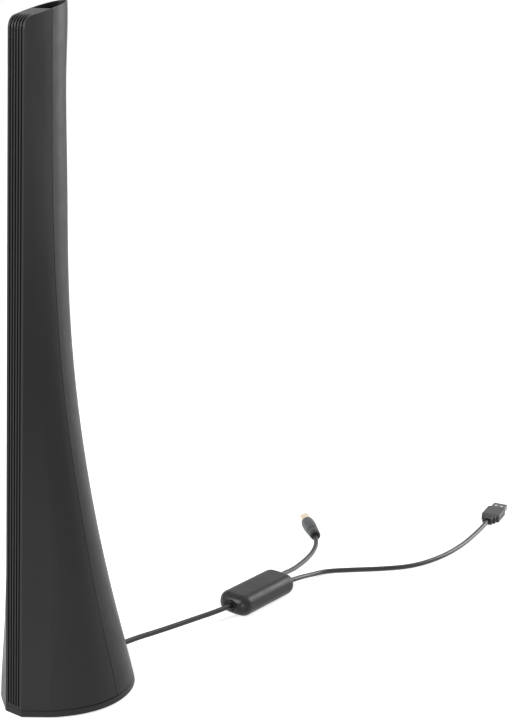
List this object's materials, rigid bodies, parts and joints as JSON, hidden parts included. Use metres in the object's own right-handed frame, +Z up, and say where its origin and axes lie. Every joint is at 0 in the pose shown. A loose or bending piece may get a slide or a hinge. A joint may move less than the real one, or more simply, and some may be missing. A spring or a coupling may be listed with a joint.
{
  "type": "indoor television antenna",
  "caption": "Slim charcoal tower television antenna on a flared base, wired to an in-line power injector box, a coaxial aerial plug and a USB plug.",
  "frame": {"origin": "on the floor, under the middle of the tower's base", "axes": "+Z up along the tower, +Y to the back where the lead leaves, +X to the right seen from the front"},
  "size_m": [0.134, 0.5268, 0.4072],
  "materials": {
    "tower_plastic": "fine matte moulded texture",
    "box_plastic": "satin",
    "black_rubber": "matte",
    "lead_jacket": "satin",
    "boot_grey": "satin",
    "usb_mould_grey": "satin",
    "screw_steel": "zinc plated",
    "ballast_iron": "as cast",
    "natural_nylon": "matte",
    "circuit_board": "green solder resist",
    "tinned_steel": "tin plated",
    "component_body": "moulded",
    "copper_foil": "bare copper",
    "plug_brass": "gold plated",
    "white_insulator": "moulded",
    "tongue_black": "moulded",
    "usb_shell_steel": "nickel plated"
  },
  "bodies": {
    "root": {"front_housing": "tower_plastic", "rear_housing": "tower_plastic", "base_plate": "tower_plastic", "injector_top": "box_plastic", "injector_bottom": "box_plastic", "rubber_feet": "black_rubber", "cord_grommet": "black_rubber", "injector_bushes": "black_rubber", "coax_plug_collar": "black_rubber", "usb_relief": "black_rubber", "main_cord": "lead_jacket", "coax_cord": "lead_jacket", "usb_cord": "lead_jacket", "inner_lead": "lead_jacket", "coax_plug_boot": "boot_grey", "usb_mould": "usb_mould_grey", "base_screws": "screw_steel", "weight_screws": "screw_steel", "clamp_screws": "screw_steel", "board_screws": "screw_steel", "base_weight": "ballast_iron", "cable_clamp": "natural_nylon", "feed_connector": "natural_nylon", "amplifier_board": "circuit_board", "antenna_board": "circuit_board", "injector_board": "circuit_board", "shield_can": "tinned_steel", "amplifier_parts": "component_body", "injector_parts": "component_body", "antenna_elements": "copper_foil", "coax_plug_ring": "plug_brass", "coax_plug_pin": "plug_brass", "usb_contacts": "plug_brass", "coax_plug_insulator": "white_insulator", "usb_tongue": "tongue_black", "usb_shell": "usb_shell_steel"}
  },
  "joints": []
}
